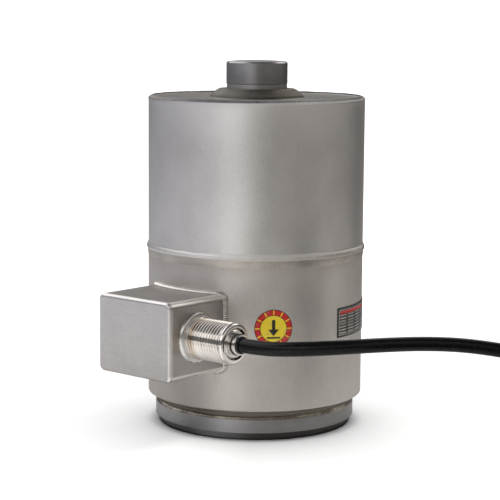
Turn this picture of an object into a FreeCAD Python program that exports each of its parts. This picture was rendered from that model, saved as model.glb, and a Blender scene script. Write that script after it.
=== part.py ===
import FreeCAD, Part
import math
import os

# Column load cell. A turned steel column stands in a welded two-piece can, with a side box for the
# trim board and a threaded cable gland. Millimetres, +Z up, origin at the centre of the base's
# underside. The side box stands out towards -Y, and the cable leaves it towards +X.

V = FreeCAD.Vector
ORIGIN = V(0, 0, 0)
X_AXIS = V(1, 0, 0)
Y_AXIS = V(0, 1, 0)
Z_AXIS = V(0, 0, 1)

# Clearance left between pieces that slide together
FIT = 0.05

# Can
CAN_R = 50.8
WALL = 2.0
CAN_BOTTOM = 14.0
CAN_TOP = 153.85
SEAM_Z = 82.6
BOTTOM_CORNER = 0.5
NECK_R = 46.2
TOP_PLATE_T = 3.0
TOP_PLATE_Z = 153.4
TOP_EDGE_WELD = 1.7
TOP_EDGE_TOE = 1.2
SEAM_ROOT = 0.4
SEAM_BEVEL = 1.6

# Spring element: base flange, gauge column and load button in one turned piece
BASE_R = 47.2
BASE_CHAMFER = 2.8
BASE_CHAMFER_H = 3.3
BASE_H = 9.3
SHOULDER_Z = 22.0
SHOULDER_CHAMFER = 2.0
COLUMN_R = 19.0
COLUMN_FOOT_R = 10.0
COLUMN_TOP = 124.0
FLAT_OFFSET = 17.0
FLAT_LOW = 60.0
FLAT_HIGH = 100.0
FLAT_RUN_OUT = 4.0
HEAD_R = 26.0
HEAD_FILLET = 6.0
HEAD_LOW = 131.0
HEAD_HIGH = 144.5
HEAD_EDGE = 1.5
SHANK_R = 17.0
SHANK_TOP = 156.5
BUTTON_R = 14.4
BUTTON_FOOT_R = 14.15
BUTTON_FOOT_TOP = 159.4
BUTTON_FOOT_STEP = 0.25
BUTTON_EDGE = 0.7
BUTTON_TOP = 170.6
CROWN_RISE = 0.6
CROWN_FLAT_R = 0.5

# Weld beads
GIRTH_W = 6.4
GIRTH_PROUD = 0.35
POST_WELD_R = 22.2
POST_WELD_TOP_R = 17.6
POST_WELD_TOP = 157.4
POST_WELD_SWELL = 0.15
BASE_WELD_R = 47.05
BASE_WELD_H = 1.5
BASE_WELD_SWELL = 0.15
SADDLE_W = 2.2
SADDLE_H = 1.5
SADDLE_EDGE = 1.0

# Side box
BOX_W = 44.0
BOX_LOW = 32.25
BOX_HIGH = 67.65
BOX_FRONT = -82.3
BOX_CORNER = 2.8
BOX_PLATE_EDGE = 1.5

# Cable gland, on an axis along +X through the box's right wall
GLAND_Y = -64.6
GLAND_Z = 50.5
NIPPLE_R = 9.3
NIPPLE_NECK_R = 9.5
NIPPLE_NECK_LEN = 4.2
NIPPLE_SHANK_R = 8.0
NIPPLE_LEN = 22.45
NIPPLE_NOSE = 1.5
MOUTH_R = 7.2
SEAT_R = 5.5
SEAT_DEPTH = 5.2
GLAND_WELD_R = 11.8
GLAND_WELD_H = 2.0
NUT_THREAD_R = 7.1
NUT_RELIEF_LEN = 2.4
NUT_FLANGE_R = 6.5
NUT_FLANGE_INSET = 0.0
NUT_HEAD_R = 4.95
NUT_HEAD_LEN = 3.4
NUT_FLAT = 4.45
NUT_EDGE = 0.4
NUT_BORE_R = 3.85
WASHER_T = 0.8
SEAL_LEN = 8.0
BUSH_PROUD = 0.5

# Gauges and wiring
GAUGE_W = 10.0
GAUGE_H = 16.0
GAUGE_Z = 82.0
GAUGE_T = 0.12
GRID_T = 0.08
LONG_GRID = (4.0, 6.5, 8.5)
CROSS_GRID = (7.0, 4.0, 3.0)
TAB_LOW = 68.0
TAB_W = 6.0
TAB_T = 0.6
RIBBON_W = 5.0
RIBBON_T = 0.5
RIBBON_CLEAR = 1.6
RIBBON_PAD_IN = 3.0
RIBBON_DROP = 8.0
BOARD_T = 1.6
BOARD_SPLIT = 0.5
RING_BOARD_Z = 40.0
RING_BOARD_IN = 20.5
RING_BOARD_OUT = 38.0
SPACER_R = 3.0
SCREW_R = 1.5
SCREW_HEAD_R = 2.8
SCREW_HEAD_H = 1.8
SCREW_HEAD_RIM = 0.6
SCREW_BITE = 7.0
SCREW_HOLE = 8.0
SPACER_RING_R = 33.0
FEED_R = 6.0
FEED_BORE_R = 4.0
FEED_FROM = 45.5
FEED_TO = 56.0
HARNESS_R = 1.8
HARNESS_BEND = 6.0
HARNESS_FROM = 30.0
HARNESS_TURN = 57.5
TRIM_BOARD_X = -15.0
TRIM_BOARD_Y = (-77.0, -55.0)
TRIM_BOARD_Z = (37.0, 63.0)
TRIM_POST_INSET = 3.5
TRIM_SCREW_LEN = 5.5
RESISTOR_R = 1.6
RESISTOR_LEN = 6.0
RESISTOR_FLANGE = 0.8
RESISTOR_WAIST = 0.4
RESISTOR_INSET = (8.3, 2.5)
RESISTOR_PITCH = (7.4, 4.4)
INNER_LEAD_R = 0.45
INNER_LEAD_PITCH = 3.6
INNER_LEAD_RING = 2.2
INNER_LEAD_SPREAD = 0.95
INNER_LEAD_ARCH = 2.0
INNER_LEAD_PAD_DOWN = 4.5

# Cable, and the coil of the length that is put away
CABLE_R = 3.175
CABLE_SLACK = 0.4
CABLE_END_X = 10.0
COIL_X = 228.0
COIL_Y = 0.0
COIL_MEAN_R = 46.3
COIL_TURNS_WIDE = 4
COIL_LAYERS = 5
COIL_PITCH = 6.6
COIL_LAYER_H = 6.4
COIL_SKIN = 0.1
COIL_END_ANGLE = 112.0
TIE_T = 1.2
TIE_W = 4.0
TIE_GAP = 0.08
TIE_HEAD = (7.0, 6.4, 4.0)
TIE_HEAD_EDGE = 0.6
TIE_ANGLES = (20.0, 150.0, 270.0)
LEAD_R = 0.65

# Places along the gland's axis, worked out from the sizes above
GLAND_FACE = BOX_W / 2
SEAT_X = GLAND_FACE + SEAT_DEPTH
NUT_START = SEAT_X + 2 * WASHER_T + SEAL_LEN
NUT_FLANGE_X = GLAND_FACE + NIPPLE_LEN - NUT_FLANGE_INSET
CABLE_EXIT_X = NUT_FLANGE_X + NUT_HEAD_LEN + BUSH_PROUD

# Share of the shorter run beside a bend that its arc takes up
ROUTE_SHARE = 0.45

# Route of the free cable, from the gland's mouth to the top turn of the coil
CABLE_ROUTE = (
    (CABLE_EXIT_X, GLAND_Y, GLAND_Z),
    (59.5, GLAND_Y, GLAND_Z),
    (71.8, -61.1, 51.4),
    (83.1, -53.1, 52.2),
    (92.4, -41.0, 52.6),
    (99.5, -26.8, 52.3),
    (107.1, -12.6, 51.7),
    (117.2, 1.4, 50.5),
    (130.2, 14.3, 47.9),
    (147.2, 26.3, 44.1),
    (166.0, 36.4, 39.4),
    (186.0, 45.3, 34.6),
    (206.1, 54.1, 30.6),
)


def at(point):
    """A profile point (radius, height) as a place in the XZ plane."""
    return V(point[0], 0, point[1])


def outline(start, *steps):
    """Closed face in the XZ plane. A step is a point, or the middle and the end of an arc."""
    edges = []
    here = start
    for step in steps + (start,):
        if isinstance(step[0], tuple):
            middle, end = step
            edges.append(Part.Arc(at(here), at(middle), at(end)).toShape())
            here = end
        elif step != here:
            edges.append(Part.LineSegment(at(here), at(step)).toShape())
            here = step
    return Part.Face(Part.Wire(edges))


def turned(start, *steps):
    """A profile of (radius, height) points turned about the Z axis."""
    return outline(start, *steps).revolve(ORIGIN, Z_AXIS, 360)


def on_arc(centre, radius, degrees):
    """A point of a round corner, with 0 degrees outwards and 90 upwards."""
    turn = math.radians(degrees)
    return (centre[0] + radius * math.cos(turn), centre[1] + radius * math.sin(turn))


def corner(centre, radius, first, last):
    """Middle and end of a round corner, as a step of an outline."""
    return (on_arc(centre, radius, (first + last) / 2), on_arc(centre, radius, last))


def on_gland(shape):
    """Turns a piece made about the Z axis onto the gland's axis, with its height along X."""
    shape.rotate(ORIGIN, Y_AXIS, 90)
    shape.translate(V(0, GLAND_Y, GLAND_Z))
    return shape


def block(low, high):
    size = V(*high) - V(*low)
    return Part.makeBox(size.x, size.y, size.z, V(*low))


def edges_along(shape, axis):
    return [edge for edge in shape.Edges if abs(edge.tangentAt(edge.FirstParameter).dot(axis)) > 0.999]


def box_bar(grow, front, back, radius):
    """The side box's section, grown or shrunk all round, as a bar along Y with round long edges."""
    low = (-BOX_W / 2 - grow, front, BOX_LOW - grow)
    high = (BOX_W / 2 + grow, back, BOX_HIGH + grow)
    bar = block(low, high)
    return bar.makeFillet(radius, edges_along(bar, Y_AXIS))


def rounded_route(points):
    """Straight runs joined by tangent arcs as large as the shorter run beside them allows."""
    edges = []
    radii = []
    here = points[0]
    for before, bend, after in zip(points, points[1:], points[2:]):
        arriving = (bend - before).normalize()
        leaving = (after - bend).normalize()
        turn = arriving.getAngle(leaving)
        set_back = ROUTE_SHARE * min((bend - before).Length, (after - bend).Length)
        radius = set_back / math.tan(turn / 2)
        inward = (leaving - arriving).normalize()
        middle = bend + inward * (radius / math.cos(turn / 2) - radius)
        arc_start = bend - arriving * set_back
        arc_end = bend + leaving * set_back
        edges.append(Part.LineSegment(here, arc_start).toShape())
        edges.append(Part.Arc(arc_start, middle, arc_end).toShape())
        radii.append(radius)
        here = arc_end
    edges.append(Part.LineSegment(here, points[-1]).toShape())
    return Part.Wire(edges), radii


def tube(points, radius):
    """A round cord along a rounded route, with its radii of bend and its length."""
    points = [V(*point) for point in points]
    path, radii = rounded_route(points)
    section = Part.Wire(Part.makeCircle(radius, points[0], points[1] - points[0]))
    return path.makePipeShell([section], True, False), radii, path.Length


def spring_element():
    base_face_r = BASE_R - BASE_CHAMFER
    spigot_r = NECK_R - WALL - FIT
    foot = (COLUMN_R + COLUMN_FOOT_R, SHOULDER_Z + COLUMN_FOOT_R)
    head = (COLUMN_R + HEAD_FILLET, COLUMN_TOP)
    rim_r = BUTTON_R - BUTTON_EDGE
    rim_z = BUTTON_TOP - CROWN_RISE
    body = turned(
        (0, 0), (base_face_r, 0), (BASE_R, BASE_CHAMFER_H), (BASE_R, BASE_H), (spigot_r, BASE_H),
        (spigot_r, SHOULDER_Z - SHOULDER_CHAMFER), (spigot_r - SHOULDER_CHAMFER, SHOULDER_Z),
        (foot[0], SHOULDER_Z), corner(foot, COLUMN_FOOT_R, 270, 180), (COLUMN_R, COLUMN_TOP),
        corner(head, HEAD_FILLET, 180, 90), (HEAD_R, HEAD_LOW), (HEAD_R, HEAD_HIGH - HEAD_EDGE),
        (HEAD_R - HEAD_EDGE, HEAD_HIGH), (SHANK_R, HEAD_HIGH), (SHANK_R, SHANK_TOP),
        (BUTTON_FOOT_R, SHANK_TOP), (BUTTON_FOOT_R, BUTTON_FOOT_TOP),
        (BUTTON_R, BUTTON_FOOT_TOP + BUTTON_FOOT_STEP), (BUTTON_R, rim_z - BUTTON_EDGE), (rim_r, rim_z),
        ((rim_r / 2, rim_z + 0.75 * CROWN_RISE), (CROWN_FLAT_R, BUTTON_TOP)), (0, BUTTON_TOP))
    mill = outline(
        (FLAT_OFFSET, FLAT_LOW), (FLAT_OFFSET + FLAT_RUN_OUT, FLAT_LOW - FLAT_RUN_OUT),
        (FLAT_OFFSET + FLAT_RUN_OUT, FLAT_HIGH + FLAT_RUN_OUT), (FLAT_OFFSET, FLAT_HIGH))
    mill.translate(V(0, -COLUMN_R, 0))
    flat = mill.extrude(V(0, 2 * COLUMN_R, 0))
    for quarter in range(4):
        body = body.cut(flat.rotated(ORIGIN, Z_AXIS, 90 * quarter))
    for place in spacer_places():
        body = body.cut(Part.makeCylinder(SCREW_R + FIT, SCREW_HOLE, place - Z_AXIS * SCREW_HOLE))
    return body


def seam_groove(direction):
    """Bevel that a shell's edge has for the seam weld: above the seam for 1, below it for -1."""
    return turned(
        (CAN_R, SEAM_Z), (CAN_R - WALL + SEAM_ROOT, SEAM_Z), (CAN_R, SEAM_Z + direction * SEAM_BEVEL))


def lower_shell():
    bend = (CAN_R - BOTTOM_CORNER, CAN_BOTTOM + BOTTOM_CORNER)
    inside_r = CAN_R - WALL
    neck_in = NECK_R - WALL
    shell = turned(
        (NECK_R, BASE_H), (NECK_R, CAN_BOTTOM), (bend[0], CAN_BOTTOM),
        corner(bend, BOTTOM_CORNER, 270, 360), (CAN_R, SEAM_Z), (inside_r, SEAM_Z),
        (inside_r, CAN_BOTTOM + WALL), (neck_in, CAN_BOTTOM + WALL), (neck_in, BASE_H))
    shell = shell.cut(seam_groove(-1))
    feed = Part.makeCylinder(FEED_R + FIT, CAN_R, V(0, 0, GLAND_Z), V(0, -1, 0))
    return shell.cut(feed)


def upper_shell():
    end_z = TOP_PLATE_Z - TOP_PLATE_T
    shell = turned((CAN_R - WALL, SEAM_Z), (CAN_R, SEAM_Z), (CAN_R, end_z), (CAN_R - WALL, end_z))
    return shell.cut(seam_groove(1))


def top_plate():
    low = TOP_PLATE_Z - TOP_PLATE_T
    outer_r = CAN_R - TOP_EDGE_WELD
    return ring(SHANK_R + FIT, outer_r, low, TOP_PLATE_Z)


def top_edge_weld():
    inner_r = CAN_R - TOP_EDGE_WELD
    foot_z = TOP_PLATE_Z - TOP_PLATE_T
    bend = (inner_r, CAN_TOP - TOP_EDGE_WELD)
    toe = (inner_r - TOP_EDGE_TOE, TOP_PLATE_Z)
    return turned(
        (inner_r, foot_z), (CAN_R, foot_z), (CAN_R, CAN_TOP - TOP_EDGE_WELD),
        corner(bend, TOP_EDGE_WELD, 0, 90), toe, (inner_r, TOP_PLATE_Z))


def girth_weld():
    low = (CAN_R, SEAM_Z - GIRTH_W / 2)
    high = (CAN_R, SEAM_Z + GIRTH_W / 2)
    return turned(
        low, ((CAN_R + GIRTH_PROUD, SEAM_Z), high), (CAN_R, SEAM_Z + SEAM_BEVEL),
        (CAN_R - WALL + SEAM_ROOT, SEAM_Z), (CAN_R, SEAM_Z - SEAM_BEVEL))


def post_weld():
    middle_r = (POST_WELD_R + POST_WELD_TOP_R) / 2 + POST_WELD_SWELL
    middle = (middle_r, (TOP_PLATE_Z + POST_WELD_TOP) / 2 + POST_WELD_SWELL)
    inner_r = SHANK_R + FIT
    foot_r = BUTTON_FOOT_R + FIT
    return turned(
        (inner_r, TOP_PLATE_Z), (POST_WELD_R, TOP_PLATE_Z), (middle, (POST_WELD_TOP_R, POST_WELD_TOP)),
        (foot_r, POST_WELD_TOP), (foot_r, SHANK_TOP), (inner_r, SHANK_TOP))


def base_weld():
    middle_r = (BASE_WELD_R + NECK_R) / 2 + BASE_WELD_SWELL
    middle = (middle_r, BASE_H + BASE_WELD_H / 2 + BASE_WELD_SWELL)
    return turned((NECK_R, BASE_H), (BASE_WELD_R, BASE_H), (middle, (NECK_R, BASE_H + BASE_WELD_H)))


def box_body():
    back = -CAN_R / 2
    front = BOX_FRONT + WALL
    tube_wall = box_bar(0, front, back, BOX_CORNER).cut(box_bar(-WALL, front, back, BOX_CORNER - WALL))
    tube_wall = tube_wall.cut(Part.makeCylinder(CAN_R, BOX_HIGH * 2))
    hole = on_gland(Part.makeCylinder(NIPPLE_SHANK_R + FIT, BOX_W))
    return tube_wall.cut(hole)


def box_end_plate():
    plate = box_bar(0, BOX_FRONT, BOX_FRONT + WALL, BOX_CORNER)
    front_edges = [edge for edge in plate.Edges if edge.BoundBox.YMax < BOX_FRONT + 0.001]
    return plate.makeFillet(BOX_PLATE_EDGE, front_edges)


def box_weld():
    """Bead round the joint of box and can, as high as the saddle rises on the can's side."""
    outer_r = CAN_R + SADDLE_H
    sleeve = Part.makeCylinder(outer_r, BOX_HIGH * 2).cut(Part.makeCylinder(CAN_R, BOX_HIGH * 2))
    outside = box_bar(SADDLE_W, BOX_FRONT, -CAN_R / 2, BOX_CORNER + SADDLE_W)
    bead = sleeve.common(outside)
    bead = bead.cut(box_bar(0, BOX_FRONT, -CAN_R / 2, BOX_CORNER)).Solids[0]
    toe_edges = [edge for edge in bead.Edges if on_toe(edge, outer_r, outside)]
    return bead.makeChamfer(SADDLE_EDGE, toe_edges)


def on_toe(edge, radius, outside):
    """Whether an edge runs round the bead's outer rim: on its top face and its outer wall."""
    middle = edge.valueAt((edge.FirstParameter + edge.LastParameter) / 2)
    high = abs(math.hypot(middle.x, middle.y) - radius) < 0.01
    return high and outside.Shells[0].distToShape(Part.Vertex(middle))[0] < 0.01


def gland_weld():
    bend = (GLAND_WELD_R - GLAND_WELD_H, GLAND_FACE)
    inner_r = NIPPLE_NECK_R + FIT
    swell_r = on_arc(bend, GLAND_WELD_H, 45)
    top = (inner_r, GLAND_FACE + GLAND_WELD_H)
    return on_gland(turned((inner_r, GLAND_FACE), (GLAND_WELD_R, GLAND_FACE), (swell_r, top)))


def gland_nipple():
    """Turned nipple: a shank in the box's wall, a plain neck, the thread's length and a round nose."""
    shank_end = GLAND_FACE - WALL
    neck_end = GLAND_FACE + NIPPLE_NECK_LEN
    end = GLAND_FACE + NIPPLE_LEN
    nose = (NIPPLE_R - NIPPLE_NOSE, end - NIPPLE_NOSE)
    cable_hole_r = CABLE_R + CABLE_SLACK
    mouth_x = NUT_START - WASHER_T / 2
    return on_gland(turned(
        (cable_hole_r, shank_end), (NIPPLE_SHANK_R, shank_end), (NIPPLE_SHANK_R, GLAND_FACE),
        (NIPPLE_NECK_R, GLAND_FACE), (NIPPLE_NECK_R, neck_end), (NIPPLE_R, neck_end), (NIPPLE_R, nose[1]),
        corner(nose, NIPPLE_NOSE, 0, 90), (MOUTH_R, end), (MOUTH_R, mouth_x), (SEAT_R, mouth_x),
        (SEAT_R, SEAT_X), (cable_hole_r, SEAT_X)))


def ring(inner_r, outer_r, low, high):
    return turned((inner_r, low), (outer_r, low), (outer_r, high), (inner_r, high))


def gland_washer(x):
    return on_gland(ring(CABLE_R + 3 * FIT, SEAT_R - 2 * FIT, x, x + WASHER_T))


def gland_seal():
    low = SEAT_X + WASHER_T
    return on_gland(ring(CABLE_R + FIT / 2, SEAT_R - FIT, low, low + SEAL_LEN))


def gland_nut():
    relief_x = NUT_FLANGE_X - NUT_RELIEF_LEN
    end = NUT_FLANGE_X + NUT_HEAD_LEN
    hole_r = CABLE_R + CABLE_SLACK / 2
    step = NUT_THREAD_R - NUT_FLANGE_R
    nut = turned(
        (hole_r, NUT_START), (NUT_THREAD_R, NUT_START), (NUT_THREAD_R, relief_x),
        (NUT_FLANGE_R, relief_x + step), (NUT_FLANGE_R, NUT_FLANGE_X - step),
        (NUT_FLANGE_R - step, NUT_FLANGE_X), (NUT_HEAD_R, NUT_FLANGE_X), (NUT_HEAD_R, end - NUT_EDGE),
        (NUT_HEAD_R - NUT_EDGE, end), (NUT_BORE_R, end), (NUT_BORE_R, NUT_FLANGE_X), (hole_r, NUT_FLANGE_X))
    wide = 4 * NUT_HEAD_R
    flat_cut = Part.makeBox(NUT_HEAD_R, wide, wide, V(NUT_FLAT, -wide / 2, NUT_FLANGE_X))
    nut = nut.cut(flat_cut).cut(flat_cut.rotated(ORIGIN, Z_AXIS, 180))
    return on_gland(nut)


def exit_bush():
    return on_gland(ring(CABLE_R + FIT, NUT_BORE_R - FIT, NUT_FLANGE_X, CABLE_EXIT_X))


def cable_inner_end():
    length = CABLE_EXIT_X - CABLE_END_X
    return Part.makeCylinder(CABLE_R, length, V(CABLE_END_X, GLAND_Y, GLAND_Z), X_AXIS)


def inner_lead(number):
    """A conductor from the cable's stripped end to its pad on the trim board."""
    place = number - 2
    pad_z = TRIM_BOARD_Z[1] - INNER_LEAD_PAD_DOWN
    pad = V(TRIM_BOARD_X + BOARD_T, GLAND_Y + INNER_LEAD_PITCH * place, pad_z)
    spread = INNER_LEAD_SPREAD * place
    lift = math.sqrt(INNER_LEAD_RING ** 2 - spread ** 2)
    root = V(CABLE_END_X, GLAND_Y + spread, GLAND_Z + lift)
    arch = (root + pad) * 0.5 + Z_AXIS * INNER_LEAD_ARCH
    path = Part.Wire(Part.Arc(root, arch, pad).toShape())
    start = path.Edges[0].tangentAt(path.Edges[0].FirstParameter)
    section = Part.Wire(Part.makeCircle(INNER_LEAD_R, root, start))
    lead = path.makePipeShell([section], True, False)
    return lead.cut(cable_inner_end()).cut(trim_board())


def on_side(shape, quarter):
    """Puts a piece made on the +X side of the column on another of its four sides."""
    return shape.rotated(ORIGIN, Z_AXIS, 90 * quarter)


def patch(width, height, low, back, thickness):
    """A thin plate that lies on a gauge flat, centred across it."""
    x = FLAT_OFFSET + back
    return block((x, -width / 2, low), (x + thickness, width / 2, low + height))


def strain_gauge(quarter):
    """Foil gauge: a carrier with a lengthwise and a crosswise grid, and its solder tabs."""
    low = GAUGE_Z - GAUGE_H / 2
    carrier = patch(GAUGE_W, GAUGE_H, low, 0, GAUGE_T)
    grids = [patch(width, height, low + up, GAUGE_T, GRID_T)
             for width, height, up in (LONG_GRID, CROSS_GRID)]
    tabs = patch(TAB_W, low - TAB_LOW, TAB_LOW, 0, TAB_T)
    return on_side(carrier.multiFuse(grids + [tabs]).removeSplitter(), quarter)


def gauge_ribbon(quarter):
    """Flat lead from a gauge's tabs, out past the column's round and down to the ring board."""
    half = RIBBON_T / 2
    tab_r = FLAT_OFFSET + TAB_T / 2
    pad_r = RING_BOARD_IN + RIBBON_PAD_IN
    clear_r = COLUMN_R + RIBBON_CLEAR
    line = ((tab_r, TAB_LOW), (tab_r, FLAT_LOW + FLAT_RUN_OUT / 2), (clear_r, FLAT_LOW - FLAT_RUN_OUT),
            (pad_r, RING_BOARD_Z + RIBBON_DROP), (pad_r, RING_BOARD_Z + BOARD_T))
    outer = [(r + half, z) for r, z in line]
    inner = [(r - half, z) for r, z in reversed(line)]
    strip = outline(outer[0], *(outer[1:] + inner))
    strip.translate(V(0, -RIBBON_W / 2, 0))
    return on_side(strip.extrude(V(0, RIBBON_W, 0)), quarter)


def spacer_places():
    """Tops of the base's shoulder where the ring boards' spacers stand."""
    places = []
    for degrees in (45, 135, 225, 315):
        turn = math.radians(degrees)
        places.append(V(SPACER_RING_R * math.cos(turn), SPACER_RING_R * math.sin(turn), SHOULDER_Z))
    return places


def terminal_board(side):
    """Half of the ring board round the column: front for -1, rear for 1."""
    board = ring(RING_BOARD_IN, RING_BOARD_OUT, RING_BOARD_Z, RING_BOARD_Z + BOARD_T)
    half = Part.makeBox(2 * CAN_R, CAN_R, CAN_R, V(-CAN_R, BOARD_SPLIT / 2, 0))
    if side < 0:
        half.rotate(ORIGIN, Z_AXIS, 180)
    board = board.common(half)
    for place in spacer_places():
        board = board.cut(Part.makeCylinder(SCREW_R + FIT, RING_BOARD_Z, place))
    return board


def board_spacers():
    spacers = []
    for place in spacer_places():
        spacer = ring(SCREW_R + FIT, SPACER_R, 0, RING_BOARD_Z - SHOULDER_Z)
        spacer.translate(place)
        spacers.append(spacer)
    return Part.makeCompound(spacers)


def pan_screw(length):
    """Screw with its shank down from z = 0 and a domed head above it."""
    crown = ((SCREW_HEAD_R * 0.6, SCREW_HEAD_H * 0.87), (SCREW_HEAD_R * 0.1, SCREW_HEAD_H))
    return turned(
        (0, -length), (SCREW_R, -length), (SCREW_R, 0), (SCREW_HEAD_R, 0), (SCREW_HEAD_R, SCREW_HEAD_RIM),
        crown, (0, SCREW_HEAD_H))


def board_screws():
    top = RING_BOARD_Z + BOARD_T
    screws = []
    for place in spacer_places():
        screw = pan_screw(top - SHOULDER_Z + SCREW_BITE)
        screw.translate(V(place.x, place.y, top))
        screws.append(screw)
    return Part.makeCompound(screws)


def feed_sleeve():
    sleeve = ring(FEED_BORE_R, FEED_R, FEED_FROM, FEED_TO)
    sleeve.rotate(ORIGIN, X_AXIS, 90)
    sleeve.translate(V(0, 0, GLAND_Z))
    return sleeve


def bridge_harness():
    """Bundle of bridge wires: up from the ring board, out through the sleeve, across to the trim board."""
    bend = HARNESS_BEND
    inside = bend * (1 - math.sqrt(0.5))
    start = V(0, -HARNESS_FROM, RING_BOARD_Z + BOARD_T)
    rise = V(0, -HARNESS_FROM, GLAND_Z - bend)
    rise_middle = V(0, -HARNESS_FROM - inside, GLAND_Z - inside)
    over = V(0, -HARNESS_FROM - bend, GLAND_Z)
    turn = V(0, -HARNESS_TURN, GLAND_Z)
    turn_middle = V(-inside, -HARNESS_TURN - bend + inside, GLAND_Z)
    across = V(-bend, -HARNESS_TURN - bend, GLAND_Z)
    pad = V(TRIM_BOARD_X + BOARD_T, across.y, GLAND_Z)
    path = Part.Wire([
        Part.LineSegment(start, rise).toShape(),
        Part.Arc(rise, rise_middle, over).toShape(),
        Part.LineSegment(over, turn).toShape(),
        Part.Arc(turn, turn_middle, across).toShape(),
        Part.LineSegment(across, pad).toShape()])
    section = Part.Wire(Part.makeCircle(HARNESS_R, start, Z_AXIS))
    return path.makePipeShell([section], True, False)


def trim_post_places():
    middle_z = (TRIM_BOARD_Z[0] + TRIM_BOARD_Z[1]) / 2
    low_y = TRIM_BOARD_Y[0] + TRIM_POST_INSET
    high_y = TRIM_BOARD_Y[1] - TRIM_POST_INSET
    return [V(0, low_y, middle_z), V(0, high_y, middle_z)]


def trim_board():
    low = (TRIM_BOARD_X, TRIM_BOARD_Y[0], TRIM_BOARD_Z[0])
    high = (TRIM_BOARD_X + BOARD_T, TRIM_BOARD_Y[1], TRIM_BOARD_Z[1])
    board = block(low, high)
    for place in trim_post_places():
        board = board.cut(Part.makeCylinder(SCREW_R + FIT, 4 * BOARD_T, place + X_AXIS * low[0], X_AXIS))
    return board


def trim_board_posts():
    wall_x = -BOX_W / 2 + WALL
    posts = []
    for place in trim_post_places():
        post = ring(SCREW_R + FIT, SPACER_R, wall_x, TRIM_BOARD_X)
        post.rotate(ORIGIN, Y_AXIS, 90)
        post.translate(place)
        posts.append(post)
    return Part.makeCompound(posts)


def trim_board_screws():
    screws = []
    for place in trim_post_places():
        screw = pan_screw(TRIM_SCREW_LEN)
        screw.rotate(ORIGIN, Y_AXIS, 90)
        screw.translate(place + X_AXIS * (TRIM_BOARD_X + BOARD_T))
        screws.append(screw)
    return Part.makeCompound(screws)


def trim_resistor(number):
    """Wire-wound trim resistor: a small waisted bobbin lying on the board."""
    waist_r = RESISTOR_R - RESISTOR_WAIST
    low = RESISTOR_FLANGE
    high = RESISTOR_LEN - RESISTOR_FLANGE
    bobbin = turned(
        (0, 0), (RESISTOR_R, 0), (RESISTOR_R, low), (waist_r, low + RESISTOR_WAIST),
        (waist_r, high - RESISTOR_WAIST), (RESISTOR_R, high), (RESISTOR_R, RESISTOR_LEN), (0, RESISTOR_LEN))
    bobbin.rotate(ORIGIN, X_AXIS, 90)
    column = number % 2
    row = number // 2
    y = TRIM_BOARD_Y[0] + RESISTOR_INSET[0] + RESISTOR_PITCH[0] * column
    z = TRIM_BOARD_Z[0] + RESISTOR_INSET[1] + RESISTOR_PITCH[1] * row
    bobbin.translate(V(TRIM_BOARD_X + BOARD_T + RESISTOR_R, y, z))
    return bobbin


def coil_reach():
    """Radii of the coil's innermost and outermost turns, which wind inwards at a steady pitch."""
    travel = (COIL_TURNS_WIDE - 1 / 3) * COIL_PITCH
    return COIL_MEAN_R - travel / 2, COIL_MEAN_R + travel / 2


def coil_section(grow):
    """Face round the coil's bundle of turns, in the XZ plane of a coil that stands on the origin."""
    skin = CABLE_R + COIL_SKIN + grow
    inner, outer = coil_reach()
    low = TIE_T + COIL_SKIN + CABLE_R
    high = low + (COIL_LAYERS - 1) * COIL_LAYER_H
    return outline(
        (inner, low - skin), (outer, low - skin), corner((outer, low), skin, 270, 360),
        (outer + skin, high), corner((outer, high), skin, 0, 90), (inner, high + skin),
        corner((inner, high), skin, 90, 180), (inner - skin, low), corner((inner, low), skin, 180, 270))


def cable_coil():
    coil = coil_section(0).revolve(ORIGIN, Z_AXIS, 360)
    coil.translate(V(COIL_X, COIL_Y, 0))
    return coil


def coil_ties():
    """Flat ties round the bundle, each with a square head on top."""
    long, wide, high = TIE_HEAD
    top = coil_section(TIE_T).BoundBox.ZMax
    head_low = (COIL_MEAN_R - long / 2, -wide / 2, top - TIE_T / 2)
    head_high = (COIL_MEAN_R + long / 2, wide / 2, top - TIE_T / 2 + high)
    head = block(head_low, head_high)
    head = head.makeFillet(TIE_HEAD_EDGE, edges_along(head, Z_AXIS))
    band = coil_section(TIE_T).cut(coil_section(TIE_GAP))
    band.translate(V(0, -TIE_W / 2, 0))
    tie = band.extrude(V(0, TIE_W, 0)).fuse(head).removeSplitter()
    ties = []
    for degrees in TIE_ANGLES:
        placed = tie.rotated(ORIGIN, Z_AXIS, degrees)
        placed.translate(V(COIL_X, COIL_Y, 0))
        ties.append(placed)
    return Part.makeCompound(ties)


def end_lead(points):
    """A stripped conductor at the cable's far end, which lies in the eye of the coil.

    Each point is (along the last turn, inwards from it, height), measured from the jacket's end.
    """
    end_angle = math.radians(COIL_END_ANGLE)
    outward = V(math.cos(end_angle), math.sin(end_angle), 0)
    along = V(math.sin(end_angle), -math.cos(end_angle), 0)
    root = V(COIL_X, COIL_Y, 0) + outward * coil_reach()[0]
    places = [root + along * t - outward * n + Z_AXIS * z for t, n, z in points]
    lead, radii, length = tube(places, LEAD_R)
    return lead.cut(cable_coil()), radii


END_LEADS = {
    "lead_red": ((0, 1.4, 4.5), (8, 5.0, 4.2), (15, 12.0, 2.4), (18, 21.0, 0.8), (17, 30.0, 0.75)),
    "lead_black": ((0, 0.7, 5.8), (8, 5.2, 6.2), (13, 13.0, 4.6), (13.5, 22.5, 2.0), (9.5, 31.0, 0.75)),
    "lead_green": ((0, -0.9, 5.6), (9, 3.8, 5.4), (17.5, 10.6, 3.6), (22.4, 19.0, 1.5), (24.0, 28.0, 0.75)),
    "lead_white": ((0, 0.6, 3.2), (8, 4.6, 2.2), (14, 12.0, 0.75), (15.4, 21.5, 0.8), (13, 31.0, 0.75)),
    "lead_shield": ((0, -0.9, 3.2), (9, 3.6, 2.2), (17.6, 10.6, 0.75), (21.0, 18.6, 0.8),
                    (21.0, 27.0, 0.75)),
}


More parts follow.
